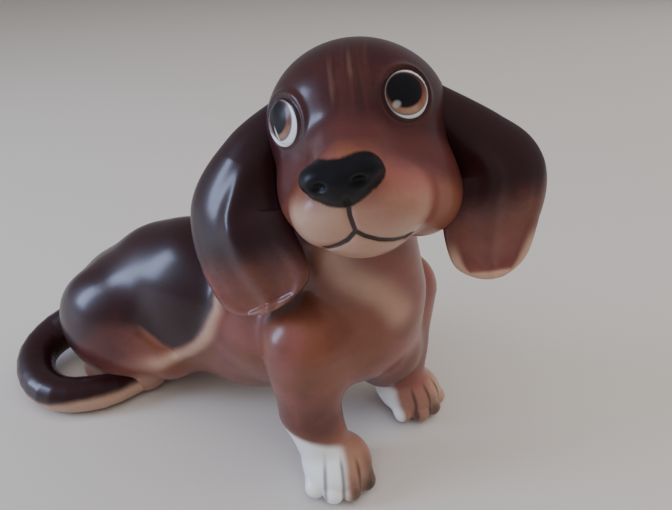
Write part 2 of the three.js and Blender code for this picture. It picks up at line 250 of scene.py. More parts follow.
def nose_mass(q):
    """The nose: the smooth union of a lobe over each nostril, one between them and one below."""
    d = smooth_union(egg(q, (-4.0, -24.2, -3.2), (3.8, 4.0, 3.0)),
                     egg(q, (2.8, -24.2, -3.2), (3.8, 4.0, 3.0)), 3.0)
    d = smooth_union(d, egg(q, (-0.6, -24.2, -3.4), (4.6, 4.0, 3.0)), 2.0)
    return smooth_union(d, egg(q, (-0.5, -24.2, -5.2), (4.0, 3.7, 3.0)), 3.0)


def eye_ring(q, side):
    """Distance from the eye's middle as a share of its half size, how far up its outline the point lies,
    and whether it lies on the front of the face at all."""
    pole = np.array([EYE_POLE[0] * side, EYE_POLE[1], EYE_POLE[2]])
    u, v = (q - pole) @ eye_across(side), q[..., 2] - pole[2]
    ring = np.sqrt((u / 5.0) ** 2 + (v / 4.5) ** 2)
    near = step(-q[..., 1] * 0.8 + q[..., 0] * side * 0.6, 10, 13)
    return ring, v / 4.5, near


def eye_across(side):
    """The level line across an eye, from the puppy's right to its left."""
    return np.array([math.cos(math.radians(EYE_YAW)), side * math.sin(math.radians(EYE_YAW)), 0.0])


def head_mass(q):
    """The head: the smooth union of cranium, brow, cheeks, a fuller left jowl, muzzle, lips, chin, bridge,
    eye lenses and nose. Round each eye one bell curve of the outline distance sinks a groove at the lens's
    edge, and a second one raises the lid outside it. The nostrils are cut out, and the mouth is a groove."""
    d = egg(q, (-0.6, 5, 6), (19.2, 19, 16.2))
    d = smooth_union(d, egg(q, (0, -4, 9), (14.5, 11.5, 11.8)), 6)
    for side in (-1, 1):
        d = smooth_union(d, egg(q, (8.6 * side, -3, -6), (9.2, 12, 10.5)), 6)
    d = smooth_union(d, egg(q, (10.5, -1, -11), (8, 10, 8)), 6)
    d = smooth_union(d, egg(q, (0, -12, -9), (12.5, 12, 9)), 7)
    for side in (-1, 1):
        d = smooth_union(d, egg(q, (5.2 * side + 0.5, -16.6, -9.3), (7.2, 7.6, 6.3)), 5)
    d = smooth_union(d, egg(q, (0.4, -13, -14.8), (7.6, 8.8, 4.6)), 3)
    d = smooth_union(d, limb(q, (0, -6, 4), (0, -21, -3), 8, 6), 6)
    for side in (-1, 1):
        d = smooth_union(d, eye_egg(q, side, EYE_RADII, 0.0), 0.5)
        ring, up, near = eye_ring(q, side)
        groove = 0.30 * np.exp(-((ring - 1.0) / 0.08) ** 2)
        lid = (0.30 + 0.25 * up) * np.exp(-((ring - 1.22) / 0.13) ** 2)
        d = d + near * (groove - lid)
    d = smooth_union(d, nose_mass(q), 1.0)
    for side in (-1, 1):
        d = smooth_cut(d, -egg(q, (3.6 * side - 0.6, -28.4, -4.4), (1.5, 1.5, 0.9)), 1.0)
    front = step(-q[..., 1], 12, 16)
    return d + front * 0.5 * np.exp(-(mouth_distance(q) / 0.55) ** 2)


def torso_mass(p):
    """The torso: the smooth union of the neck's limb and the torso's eggs, raised along the flank's fold."""
    d = limb(p, *NECK)
    for centre, radii, k in TORSO_MASSES:
        d = smooth_union(d, egg(p, centre, radii), k)
    return d - 0.9 * np.exp(-(away_from(p, FLANK_FOLD) / 2.4) ** 2)


def foreleg_mass(p, side):
    """A foreleg: limbs from shoulder to elbow to wrist, an egg for the paw, and a short limb for each toe,
    laid out in the paw's own directions."""
    leg = FORELEGS[side]
    (shoulder, elbow, wrist), (rs, re, rw), (px, py) = leg["line"], leg["radii"], leg["paw"]
    d = limb(p, shoulder, elbow, rs, re)
    d = smooth_union(d, limb(p, elbow, wrist, re, rw), 3)
    d = smooth_union(d, egg(p, (px, py, 5.6), (8.6, 8.8, 6.2), leg["yaw"]), 2.5)
    c, s = math.cos(math.radians(leg["yaw"])), math.sin(math.radians(leg["yaw"]))
    for x, reach in TOES:
        near, back = 0.8 * x, 0.5
        root = (px + c * near + s * back, py + s * near - c * back, 6.0)
        tip = (px + c * x + s * reach, py + s * x - c * reach, 3.2)
        d = smooth_union(d, limb(p, root, tip, 3.0, 2.6), 0.8)
    return d


def hind_mass(p, side):
    """A folded hind leg: an egg for the haunch, and limbs from hip to knee, knee to hock and hock to toe."""
    leg = HIND_LEGS[side]
    d = egg(p, leg["hip"], HAUNCH_RADII, leg["yaw"])
    d = smooth_union(d, limb(p, leg["hip"], leg["knee"], 9, 6.5), 6)
    d = smooth_union(d, limb(p, leg["knee"], leg["hock"], 4.6, 4.2), 1.6)
    return smooth_union(d, limb(p, leg["hock"], leg["toe"], 4.4, 4.8), 2.0)


def tail_mass(p):
    """The tail: the lowest distance to the limbs between 19 points of the curve through its path."""
    t = np.linspace(0, 1, 19)
    points, radii = through(TAIL_PATH, t), through(TAIL_RADII, t)[:, 0]
    d = limb(p, points[0], points[1], radii[0], radii[1])
    for i in range(1, len(points) - 1):
        d = np.minimum(d, limb(p, points[i], points[i + 1], radii[i], radii[i + 1]))
    return d


def flattened(d, p, k=1.6):
    """The mass cut off at the ground with a rounded edge."""
    return smooth_cut(d, -p[..., 2], k)


def joined(p, own, others):
    """One piece's skin where it runs into its neighbours. It is the smooth union of its own mass and theirs,
    so both pieces share the fillet; where a neighbour is nearer it dips 0.25 mm under the shared skin, and it
    never stands more than k/6 + 0.5 mm outside its own mass. A bell curve sinks the crease of the knee."""
    shared, dip, widest = own, 0.0, 1.0
    for field, k in others:
        other = field(p)
        shared = smooth_union(shared, other, k)
        dip = np.maximum(dip, step(own - other, 0.0, 1.2))
        widest = max(widest, k)
    creased = shared + 0.8 * np.exp(-(away_from(p, KNEE_CREASE) / 1.1) ** 2)
    return flattened(np.maximum(creased + 0.25 * dip, own - (widest / 6 + 0.5)), p)


# ---- skins ----
def march(field, start, direction, reach=70.0):
    """Walks every ray out from inside the mass until the distance is zero: r grows by 0.8 of what is left."""
    r = np.full(start.shape[:-1], 2.0)
    for _ in range(46):
        r = np.clip(r - 0.8 * field(start + direction * r[..., None]), 0.05, reach)
    return start + direction * r[..., None]


def wrapped(field, spine, rings, columns, fan=0.5, crowd=0.0):
    """Skin of a mass on a grid (v, u): rays leave the spine at angle u about it, and fan out over its two
    ends as v runs the first and last `fan` of its way. A spine of one point fans out all round. crowd packs
    the columns to the front: u + crowd sin u."""
    sizes = bpy.context.scene.puppy_sizes
    rings, columns = int(rings * sizes.fineness), int(columns * sizes.fineness)
    v = (np.arange(rings + 2) / (rings + 1))[:, None]
    u = (2 * np.pi * np.arange(columns) / columns)[None, :]
    if len(spine) > 1:
        tilt = np.where(v < fan, (v / fan - 1), np.where(v > 1 - fan, (v - 1 + fan) / fan, 0)) * np.pi / 2
        t = np.clip((v[:, 0] - fan) / (1 - 2 * fan), 0, 1)
        centre = through(spine, t)
        axis = through(spine, np.minimum(t + 0.02, 1)) - through(spine, np.maximum(t - 0.02, 0))
        axis /= np.linalg.norm(axis, axis=1, keepdims=True)
    else:
        tilt = (v - 0.5) * np.pi
        centre = np.repeat(np.asarray(spine, float), rings + 2, 0)
        axis = np.repeat([[0.0, 0.0, 1.0]], rings + 2, 0)
    across = np.array([1.0, 0, 0]) - axis * axis[:, :1]
    across /= np.linalg.norm(across, axis=1, keepdims=True)
    other = np.cross(axis, across)
    a = u + crowd * np.sin(u) + np.pi / 2
    way = (across[:, None] * (np.cos(a) * np.cos(tilt))[..., None]
           + other[:, None] * (np.sin(a) * np.cos(tilt))[..., None]
           + axis[:, None] * np.sin(tilt + 0 * a)[..., None])
    return march(field, np.repeat(centre[:, None], columns, 1), way)


def lidded(points):
    """Vertices and faces of a ring grid: the first and last ring are shut to one point each."""
    rows, columns = points.shape[:2]
    body = points[1:-1].reshape(-1, 3)
    verts = np.vstack([points[0].mean(0), body, points[-1].mean(0)])
    i, j = np.meshgrid(np.arange(rows - 3), np.arange(columns), indexing="ij")
    a, b = 1 + i * columns + j, 1 + i * columns + (j + 1) % columns
    quads = np.stack([a, b, b + columns, a + columns], -1).reshape(-1, 4)
    j = np.arange(columns)
    low = np.stack([np.zeros_like(j), 1 + (j + 1) % columns, 1 + j], -1)
    top = 1 + (rows - 3) * columns
    high = np.stack([np.full_like(j, len(verts) - 1), top + j, top + (j + 1) % columns], -1)
    p, q, r = verts[quads[:, 0]], verts[quads[:, 1]], verts[quads[:, 2]]
    if np.einsum("ij,ij->", p, np.cross(q, r)) < 0:
        quads, low, high = quads[:, ::-1], low[:, ::-1], high[:, ::-1]
    return verts, quads, np.vstack([low, high])


def make_piece(name, points, node, material, masks):
    """A closed mesh of the ring grid, in metres, with its stain masks stored on the points. It stands for a
    CAD node."""
    verts, quads, caps = lidded(points)
    if not np.isfinite(verts).all():
        raise RuntimeError(name + ": a ray of its skin found no surface")
    mesh = bpy.data.meshes.new(name)
    mesh.vertices.add(len(verts))
    mesh.vertices.foreach_set("co", ((verts + STAND) * MM).astype(np.float32).ravel())
    loops = np.concatenate([quads.ravel(), caps.ravel()])
    mesh.loops.add(len(loops))
    mesh.loops.foreach_set("vertex_index", loops.astype(np.int32))
    starts = np.concatenate([np.arange(len(quads)) * 4, 4 * len(quads) + np.arange(len(caps)) * 3])
    mesh.polygons.add(len(starts))
    mesh.polygons.foreach_set("loop_start", starts.astype(np.int32))
    mesh.update(calc_edges=True)
    mesh.validate()
    mesh.shade_smooth()
    for key, values in masks(verts).items():
        layer = mesh.attributes.new(key, "FLOAT_VECTOR" if values.ndim > 1 else "FLOAT", "POINT")
        layer.data.foreach_set("vector" if values.ndim > 1 else "value", values.astype(np.float32).ravel())
    mesh.materials.append(material)
    obj = bpy.data.objects.new(name, mesh)
    bpy.context.scene.collection.objects.link(obj)
    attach(obj, BODY)
    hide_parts(node)
    return obj


# ---- the airbrushed stains, as masks on the points ----
THROAT_BLAZE = ((-14, -35.6, 61), (-12.7, -38.5, 57.8), (-10.4, -42, 55.4), (-7.1, -45, 52.3),
                (-4, -47.3, 47))
# Lower edge of the dark saddle: how far back, and how high
SADDLE_EDGE = ((-31, 70), (-24, 60), (-17, 43), (-10, 44), (-6, 44), (-4.5, 38), (-2, 32), (1.4, 27.6),
               (6, 23.4), (10.5, 21), (14.3, 22.5), (19, 26.5), (28, 23), (35, 17), (41, 10), (48, 3))


def stain_masks(p):
    """How much of each stain lies on each point, 0 to 1. The saddle is dark above SADDLE_EDGE, a line that
    falls from the withers along the flank's fold to the knee, then from the knee's crease down to the rump,
    where it is softer. The fold and the throat are cream, by bell curves of the distance to their lines."""
    x, y, z = p[:, 0], p[:, 1], p[:, 2]
    edges = np.array(SADDLE_EDGE, float)
    over = z - np.interp(y, edges[:, 0], edges[:, 1])
    softness = 4.0 + 7.0 * step(y, 18, 27)
    dark = step(over / softness, -0.15, 0.85) * step(y, -36, -26) * (1 - 0.2 * step(y, 14, 26))
    fold_width = 2.0 + 2.2 * step(y, 10, 24)
    fold = np.exp(-(away_from(p, FLANK_FOLD + FOLD_TAIL) / fold_width) ** 2) * 0.85 * (1 - step(y, 9, 29))
    foot = step(-z, -14, -8) * step(y, 12, 18) * 0.55
    throat = np.exp(-(away_from(p, THROAT_BLAZE) / 4.6) ** 2) * 0.68
    cream = np.maximum(np.maximum(fold, foot), throat)
    russet = 0.30 + 0.3 * step(-z, -34, -20) * step(-y, 22, 30) + 0.65 * step(over, -12, -2) * step(y, 16, 26)
    return {"dark": dark, "russet": russet, "cream": cream, "white": 0 * x, "ink": 0 * x}


def paw_masks(p, side):
    """The stains of a foreleg: white clay on the toes of a paw's right half, tan and brown over the rest, and
    grey-brown lines in the grooves between the toes and dark on their tips. On the right paw, the brown and
    the dark over its inner half, which is turned from the window light, are partly painted shade. Steps
    across the paw, ahead along it and up the wrist bound them."""
    masks = stain_masks(p)
    leg = FORELEGS[side]
    c, s = math.cos(math.radians(leg["yaw"])), math.sin(math.radians(leg["yaw"]))
    dx, dy, z = p[:, 0] - leg["paw"][0], p[:, 1] - leg["paw"][1], p[:, 2]
    across, ahead = c * dx + s * dy, s * dx - c * dy
    low = step(13.5 - 0.3 * across - z, -2.2, 2.0) if side < 0 else step(-z, -13.5, -9.5)
    grooves = sum(np.exp(-((across - g * (0.8 + 0.025 * ahead)) / 0.7) ** 2) for g in (-4.2, 0.0, 4.2))
    grooves = grooves * step(ahead, 1.5, 6.5) * low * 0.62
    if side < 0:
        white = low * step(-across, -3.2, 1.8)
        # Dark over the inner half of the right paw, which is turned from the window light, is partly painted
        # shade; the next line adds dark on the tips of its inner toes
        dark_tips_and_shade = 0.6 * step(across, 3.0, 7.5) * step(ahead, -3, 5)
        dark_tips_and_shade = dark_tips_and_shade + 0.6 * step(across, 0, 3) * step(ahead, 6.0, 9.5)
        cream = np.maximum(low * 0.5, 0.30 * step(-z, -20, -13))
    else:
        white = low * step(-across, 6.2, 8.6) * 0.75
        dark_tips_and_shade = step(ahead, 6.0, 10.0) * step(across, -5, 2) * 0.6
        cream = low * (0.40 + 0.25 * step(across, 0, 4))
    masks.update(white=white, cream=np.maximum(masks["cream"], cream), ink=np.maximum(grooves, dark_tips_and_shade * low),
                 russet=masks["russet"] - 0.4 * step(-z, -20, -10))
    return masks


def head_masks(p):
    """The stains of the head: darkest on the crown and temples, russet over the brow, tan down the bridge and
    cheeks, cream on the lips and chin. With them go each point's place on the face, its place about the
    nearer eye (across, up, and 0 for the right eye or 1 for the left), and its distances to the mouth's
    lines and the nose."""
    masks = stain_masks(p)
    q = to_face(p)
    x, y, z = q[:, 0], q[:, 1], q[:, 2]
    height = z + 0.35 * np.abs(x) + 0.3 * (y + 14)
    dark = 0.58 * step(height, 1, 9) + 0.05 * step(height, 12, 21)
    russet = step(height, -7, 4)
    cream = step(-z, 3, 10) * step(-y, 13, 19) * (0.8 - 0.35 * step(x, -3, 5) * step(z, -15, -10))
    right_eye, left_eye = [np.stack([(q - np.array(EYE_POLE) * (side, 1, 1)) @ eye_across(side),
                                     z - EYE_POLE[2], 0.5 + 0.5 * side + 0 * z], -1) for side in (-1, 1)]
    eyes = np.where(x[:, None] < 0, right_eye, left_eye)
    mouth = mouth_distance(q) + 5.0 * step(y, -14, -8)
    masks.update(dark=dark, russet=russet, cream=cream, face=q, eye=eyes, mouth=mouth, nose=nose_mass(q))
    return masks


def ear_masks(p, side, rim):
    """The stains of an ear: dark above, russet below, with a cream rim round its lower edge."""
    masks = stain_masks(p)
    z = to_face(p)[:, 2]
    low = step(-z, 11, 24) if side < 0 else step(-z, 9, 21)
    cream = rim * (step(-z, 23, 29) * 0.3 if side < 0 else step(-z, 19, 27) * 0.9)
    masks.update(dark=0.92 - 0.85 * low, russet=1 - 0.45 * low, cream=cream)
    return masks


def tail_masks(p):
    """The stains of the tail: dark above and cream along the ground, higher up towards the tip."""
    masks = stain_masks(p)
    z = p[:, 2] - 2.0 * step(-p[:, 1], -44, -29)
    masks.update(dark=step(z, 1.2, 4.5), russet=0.8 + 0 * z, cream=step(-z, -6.2, -2.6) * 0.95)
    return masks


# ---- shader maths ----
class Value:
    """A number that varies over the surface. An expression on it adds the Math nodes."""

    def __init__(self, shader, socket):
        self.shader, self.socket = shader, socket

    def maths(self, operation, *others):
        """The result of one Math node."""
        inputs = {0: self}
        inputs.update({i + 1: o for i, o in enumerate(others)})
        return self.shader.value("ShaderNodeMath", {"operation": operation}, inputs)

    def __add__(self, o): return self.maths("ADD", o)
    def __radd__(self, o): return self.maths("ADD", o)
    def __mul__(self, o): return self.maths("MULTIPLY", o)
    def __rmul__(self, o): return self.maths("MULTIPLY", o)
    def __sub__(self, o): return self.maths("SUBTRACT", o)
    def __rsub__(self, o): return (self * -1.0) + o
    def __truediv__(self, o): return self.maths("DIVIDE", o)
    def __neg__(self): return self * -1.0
    def __abs__(self): return self.maths("ABSOLUTE")
    def high(self, o): return self.maths("MAXIMUM", o)
    def root(self): return self.maths("SQRT")

    def step(self, low, high):
        """0 below low, 1 above high, smooth between."""
        return self.shader.value("ShaderNodeMapRange", {"interpolation_type": "SMOOTHSTEP"},
                                 {0: self, 1: low, 2: high})


class Shader:
    """A material's node tree, written as expressions."""

    def __init__(self, name):
        self.material = bpy.data.materials.new(name)
        self.material.use_nodes = True
        self.tree = self.material.node_tree
        self.tree.nodes.clear()

    def node(self, kind, settings=None, inputs=None):
        """A node of any kind: its settings first, then a value or a link for each socket named."""
        node = self.tree.nodes.new(kind)
        for key, value in (settings or {}).items():
            setattr(node, key, value)
        for key, value in (inputs or {}).items():
            if isinstance(value, Value):
                value = value.socket
            if isinstance(value, bpy.types.NodeSocket):
                self.tree.links.new(value, node.inputs[key])
            else:
                node.inputs[key].default_value = value
        return node

    def value(self, kind, settings=None, inputs=None, output=0):
        """One output of a node, as a number to calculate with."""
        return Value(self, self.node(kind, settings, inputs).outputs[output])

    def mask(self, name):
        """A number stored on the mesh's points."""
        return self.value("ShaderNodeAttribute", {"attribute_name": name}, output="Fac")

    def noise(self, vector, scale, detail):
        """Smooth noise from 0 to 1, so many waves to the metre (or to the millimetre, on face places)."""
        return self.value("ShaderNodeTexNoise", None, {"Vector": vector, "Scale": scale, "Detail": detail})

    def place_on(self, name):
        """A place stored on the mesh's points."""
        return self.node("ShaderNodeAttribute", {"attribute_name": name}).outputs["Vector"]

    def parts(self, vector):
        """The three numbers of a vector."""
        node = self.node("ShaderNodeSeparateXYZ", None, {0: vector})
        return [Value(self, node.outputs[i]) for i in range(3)]

    def mix(self, a, b, factor):
        """Colour b laid over colour a by the factor."""
        a, b = (c if isinstance(c, bpy.types.NodeSocket) else (*c, 1.0) for c in (a, b))
        return self.node("ShaderNodeMix", {"data_type": "RGBA"}, {0: factor, 6: a, 7: b}).outputs[2]

    def finish(self, colour, roughness, normal, coat):
        """A satin stain under a clear coat of glaze."""
        inputs = {"Base Color": colour, "Roughness": roughness, "Normal": normal, "Coat Weight": coat,
                  "Coat Roughness": 0.22, "Coat IOR": 1.5, "IOR": 1.45, "Specular IOR Level": 0.3}
        shader = self.node("ShaderNodeBsdfPrincipled", None, inputs)
        self.node("ShaderNodeOutputMaterial", None, {0: shader.outputs[0]})
        return self.material


def stained(shader):
    """The airbrushed stains, one laid over another: tan blotched with rose, then russet, chocolate, cream,
    white and the grey-brown of the toes, each by its mask with cloudy noise and fine speckle added; on the
    paws that grey-brown is partly painted shade. Also gives the place on the piece, the cloud and the
    speckle."""
    glaze = bpy.context.scene.puppy_glaze
    place = shader.node("ShaderNodeTexCoord").outputs["Object"]
    cloud = shader.noise(place, 130.0, 4.0) - 0.5
    speck = shader.noise(place, 1500.0, 2.0) - 0.5
    russet = (shader.mask("russet") + cloud * 0.9 + speck * 0.15).step(0.0, 1.0)
    dark = (shader.mask("dark") + cloud * 0.4 + speck * 0.12).step(0.05, 0.92)
    cream = (shader.mask("cream") + cloud * 0.35 + speck * 0.1).step(0.05, 0.95)
    white = (shader.mask("white") + cloud * 0.25).step(0.1, 0.85)
    blotch = shader.noise(place, 55.0, 2.0).step(0.42, 0.62)
    colour = shader.mix(shader.mix(glaze.tan, glaze.rose, blotch * 0.75), glaze.russet, russet)
    colour = shader.mix(colour, glaze.chocolate, dark)
    colour = shader.mix(colour, glaze.cream, cream)
    colour = shader.mix(colour, glaze.white, white)
    # Grey-brown lines between the toes, and dark on the paws' inner sides and toe tips, which is partly
    # painted shade
    colour = shader.mix(colour, glaze.ink, (shader.mask("ink") + cloud * 0.2).step(0.1, 0.9))
    return colour, place, cloud, speck


def glaze_bump(shader, place):
    """The faint orange-peel of a brushed glaze."""
    ripple = shader.noise(place, 260.0, 2.0)
    bump = {"Strength": 0.06, "Distance": 0.0004, "Height": ripple}
    return shader.node("ShaderNodeBump", None, bump).outputs[0]


def glaze_finish(shader, colour, place, cloud, dull=None):
    """The stains' roughness and the glaze over them, both cloudy. The glaze is thinner where `dull` is 1."""
    coat = cloud * 0.4 + 0.45
    if dull is not None:
        coat = coat * (1.0 - 0.92 * dull)
    return shader.finish(colour, cloud * 0.2 + 0.42, glaze_bump(shader, place), coat)


def coat_material():
    """The stains and the glaze alone, for every piece but the head."""
    shader = Shader("stained_glaze")
    colour, place, cloud, _ = stained(shader)
    return glaze_finish(shader, colour, place, cloud)


# The painted eyes: each oval's middle across the eye (right eye, left eye), its middle up the eye (the same),
# its half width, half height and softness, in millimetres and shares. FAR puts an oval off the face.
FAR = -90.0
EYE_OVALS = {
    "lid": ((-0.8, 0.2), (0.25, 0.35), 5.6, 4.8, 0.10),
    "white": ((-0.8, 0.3), (-0.15, 0.25), 4.9, 4.3, 0.03),
    "rim": ((-1.35, -0.25), (0.65, 0.45), 4.65, 3.95, 0.03),
    "iris": ((-1.35, -0.25), (0.65, 0.45), 4.35, 3.65, 0.05),
    "pupil": ((-1.55, -0.80), (1.05, 0.95), 3.6, 3.1, 0.10),
    "glint": ((-2.3, -0.2), (-2.1, FAR), 0.32, 1.5, 0.5),
    # A soft white patch painted in the left eye beside its pupil is a painted reflection
    "painted_reflection": ((FAR, -3.0), (0.0, -1.2), 0.7, 0.6, 0.5),
}


def painted_brow(shader, colour, bristle, cloud, x, y, z):
    """Faint brush streaks on the brow: tan where the bristle noise is high, and two thin cream strokes, each
    a step of the distance to its own line."""
    glaze = bpy.context.scene.puppy_glaze
    brow = z.step(4.0, 10.0) * (1.0 - abs(x).step(5.0, 11.0)) * (-y).step(2.0, 8.0)
    colour = shader.mix(colour, glaze.tan, bristle.step(0.45, 0.85) * brow * 0.18)
    long_stroke = (1.0 - abs(x + 0.9 + cloud * 0.8).step(0.1, 0.75)) * z.step(8.0, 11.5)
    short_stroke = (1.0 - abs(x - 2.7 + cloud * 0.8).step(0.1, 0.6)) * z.step(12.0, 14.0) * 0.6
    strokes = (long_stroke + short_stroke) * (1.0 - z.step(16.0, 20.0)) * (-y).step(6.0, 9.0)
    return shader.mix(colour, glaze.cream, strokes * bristle.step(0.3, 0.7) * 0.16)


def painted_eyes(shader, colour, bristle, cloud, x, y):
    """The eyes, oval over oval: dark lid line, white, dark rim, iris flecked with cream below and shaded
    above, pupil, a painted glint of white in the right eye and a soft painted reflection in the left. Also
    gives the pupil."""
    glaze = bpy.context.scene.puppy_glaze
    across, up, left = shader.parts(shader.place_on("eye"))
    near = ((-y) * 0.8 + abs(x) * 0.6).step(10.0, 12.0) * abs(x).step(2.0, 3.0)

    def oval(name):
        """1 inside the oval, 0 outside, by the length of (across/half width, up/half height)."""
        (u_right, u_left), (v_right, v_left), half_width, half_height, soft = EYE_OVALS[name]
        u = (across - ((u_left - u_right) * left + u_right)) / half_width
        v = (up - ((v_left - v_right) * left + v_right)) / half_height
        return (1.0 - (u * u + v * v).root().step(1.0 - soft, 1.0 + soft)) * near

    white = oval("white")
    pupil = oval("pupil") * white
    fleck = (bristle + cloud * 0.8 + up * -0.12).step(0.35, 0.95)
    iris = shader.mix(glaze.iris, glaze.cream, fleck * 0.7)
    iris = shader.mix(iris, glaze.chocolate, up.step(-1.5, 2.5) * 0.8)
    colour = shader.mix(colour, glaze.chocolate, oval("lid") * 0.8)
    colour = shader.mix(colour, glaze.white, white)
    colour = shader.mix(colour, glaze.chocolate, oval("rim") * white * 0.85)
    colour = shader.mix(colour, iris, oval("iris") * white)
    colour = shader.mix(colour, glaze.black, pupil)
    # White over the pupils: a painted highlight in the right eye and a painted reflection in the left
    return shader.mix(colour, glaze.white, oval("glint") * 0.8 + oval("painted_reflection") * 0.35), pupil


def head_material():
    """The stains, with brush streaks on the brow and the eyes, nose and mouth painted on."""
    shader = Shader("painted_face_glaze")
    colour, place, cloud, speck = stained(shader)
    face = shader.place_on("face")
    drawn_out = {0: face, 1: (0.55, 0.05, 0.035)}
    stretched = shader.node("ShaderNodeVectorMath", {"operation": "MULTIPLY"}, drawn_out).outputs[0]
    bristle = shader.noise(stretched, 1.0, 4.0)
    x, y, z = shader.parts(face)
    colour = painted_brow(shader, colour, bristle, cloud, x, y, z)
    colour, pupil = painted_eyes(shader, colour, bristle, cloud, x, y)
    nose = 1.0 - (shader.mask("nose") + speck * 0.3).step(0.15, 0.6)
    mouth = 1.0 - shader.mask("mouth").step(0.28, 0.55)
    colour = shader.mix(colour, bpy.context.scene.puppy_glaze.black, nose.high(mouth * 0.93))
    return glaze_finish(shader, colour, place, cloud, dull=nose.high(pupil * 0.97))


def material(name):
    """The named material, made the first time it is asked for."""
    makers = {"stained_glaze": coat_material, "painted_face_glaze": head_material}
    return bpy.data.materials.get(name) or makers[name]()


# ---- operators: one for each piece or group of like pieces ----
class PUPPY_OT_torso(bpy.types.Operator):
    """Model the torso with its neck"""
    bl_idname = "puppy.torso"
    bl_label = "Torso"

    def execute(self, context):
        others = [(lambda p: head_mass(to_face(p)), NECK_BLEND)]
        others += [(lambda p, s=side: foreleg_mass(p, s), SHOULDER_BLEND[side]) for side in (-1, 1)]
        others += [(lambda p, s=side: hind_mass(p, s), HAUNCH_BLEND) for side in (-1, 1)]
        others += [(tail_mass, RUMP_BLEND)]
        points = wrapped(lambda p: joined(p, torso_mass(p), others), TORSO_SPINE, 300, 240, fan=0.22)
        make_piece("torso_skin", points, "torso", material("stained_glaze"), stain_masks)
        return {"FINISHED"}


class PUPPY_OT_head(bpy.types.Operator):
    """Model the head with its face"""
    bl_idname = "puppy.head"
    bl_label = "Head"

    def execute(self, context):
        def field(q):
            """The head where it runs into the neck, as in `joined`, but in the head's own axes."""
            d, other = head_mass(q), torso_mass(from_face(q))
            dip = step(d - other, 0.0, 1.2)
            return np.maximum(smooth_union(d, other, NECK_BLEND) + 0.25 * dip, d - 1.5)
        points = from_face(wrapped(field, (SKULL_CENTRE,), 280, 330, crowd=0.4))
        make_piece("head_skin", points, "head", material("painted_face_glaze"), head_masks)
        return {"FINISHED"}


def ear_flap(side, thick=1.7):
    """A flap on a grid (t, a), and how near each point is to its rim. At t along its centre line the section
    is (w cos a, lift + h sgn(sin a) |sin a|^0.8): w rounds off to nothing at the tip, h is the half
    thickness, fuller at the rim, and lift bows the upper ear outward and dishes the lower, with one fold
    down it."""
    ear = EARS[side]
    count = bpy.context.scene.puppy_sizes.fineness
    t = np.linspace(0, 1, int(220 * count))
    a = np.linspace(0, 2 * np.pi, int(220 * count), endpoint=False)
    centre = through(ear["path"], t)
    rounding = np.sqrt(np.clip(1 - np.clip((t - 0.85) / 0.15, 0, 1) ** 2.5, 0, 1))
    width = through(ear["width"], t)[:, 0] * rounding
    axis = through(ear["path"], np.minimum(t + 0.01, 1)) - through(ear["path"], np.maximum(t - 0.01, 0))
    axis /= np.linalg.norm(axis, axis=1, keepdims=True)
    across = np.cross(axis, np.array([0.25 * side, -1, 0]))
    across /= np.linalg.norm(across, axis=1, keepdims=True)
    out = np.cross(across, axis)
    u, v = np.cos(a)[None], np.sin(a)[None]
    w, t = width[:, None], t[:, None]
    full = np.minimum(1, w / 8)
    bow = (3.4 - 4.4 * step(t, 0.5, 0.9)) * (1 - u * u) * full
    fold = 1.3 * np.exp(-((u * side - 0.45 + 0.5 * t) / 0.22) ** 2) * step(t, 0.15, 0.4) * full
    rim = step(np.maximum(np.abs(u), (t - 0.80) / 0.17), 0.62, 0.9)
    half = (thick + 0.7 * rim * step(t, 0.3, 0.6)) * np.minimum(1, w / 3)
    lift = bow + fold * (v > 0) * np.abs(v) + half * np.sign(v) * np.abs(v) ** 0.8
    points = centre[:, None] + across[:, None] * (w * u)[..., None] + out[:, None] * lift[..., None]
    return points, rim * np.ones_like(lift)


class PUPPY_OT_ears(bpy.types.Operator):
    """Model the two hanging ears"""
    bl_idname = "puppy.ears"
    bl_label = "Ears"

    def execute(self, context):
        for side, name in ((-1, "right_ear"), (1, "left_ear")):
            points, rim = ear_flap(side)
            rim = np.concatenate([rim[:1].mean(1), rim[1:-1].ravel(), rim[-1:].mean(1)])
            make_piece(name + "_flap", from_face(points), name, material("stained_glaze"),
                       lambda p, s=side, r=rim: ear_masks(p, s, r))
        return {"FINISHED"}


class PUPPY_OT_forelegs(bpy.types.Operator):
    """Model the two forelegs with their paws"""
    bl_idname = "puppy.forelegs"
    bl_label = "Forelegs"

    def execute(self, context):
        for side, name in ((-1, "right_foreleg"), (1, "left_foreleg")):
            (top, elbow, wrist), (px, py) = FORELEGS[side]["line"], FORELEGS[side]["paw"]
            spine = ((px, py, 5), (wrist[0], wrist[1] - 1, 10), elbow, (top[0], top[1], top[2] - 2))

            def field(p, s=side):
                """The foreleg where it runs into the torso."""
                return joined(p, foreleg_mass(p, s), [(torso_mass, SHOULDER_BLEND[s])])
            points = wrapped(field, spine, 200, 200, fan=0.3, crowd=0.3)
            make_piece(name + "_skin", points, name, material("stained_glaze"),
                       lambda p, s=side: paw_masks(p, s))
        return {"FINISHED"}


class PUPPY_OT_hind_legs(bpy.types.Operator):
    """Model the two folded hind legs"""
    bl_idname = "puppy.hind_legs"
    bl_label = "Hind Legs"

    def execute(self, context):
        for side, name in ((-1, "right_hind_leg"), (1, "left_hind_leg")):
            hip, knee = np.array(HIND_LEGS[side]["hip"]), np.array(HIND_LEGS[side]["knee"])
            start = (0.55 * hip + 0.45 * knee) * (1, 1, 0.7)

            def field(p, s=side):
                """The hind leg where it runs into the torso."""
                return joined(p, hind_mass(p, s), [(torso_mass, HAUNCH_BLEND)])
            points = wrapped(field, (start,), 170, 200)
            make_piece(name + "_skin", points, name, material("stained_glaze"), stain_masks)
        return {"FINISHED"}


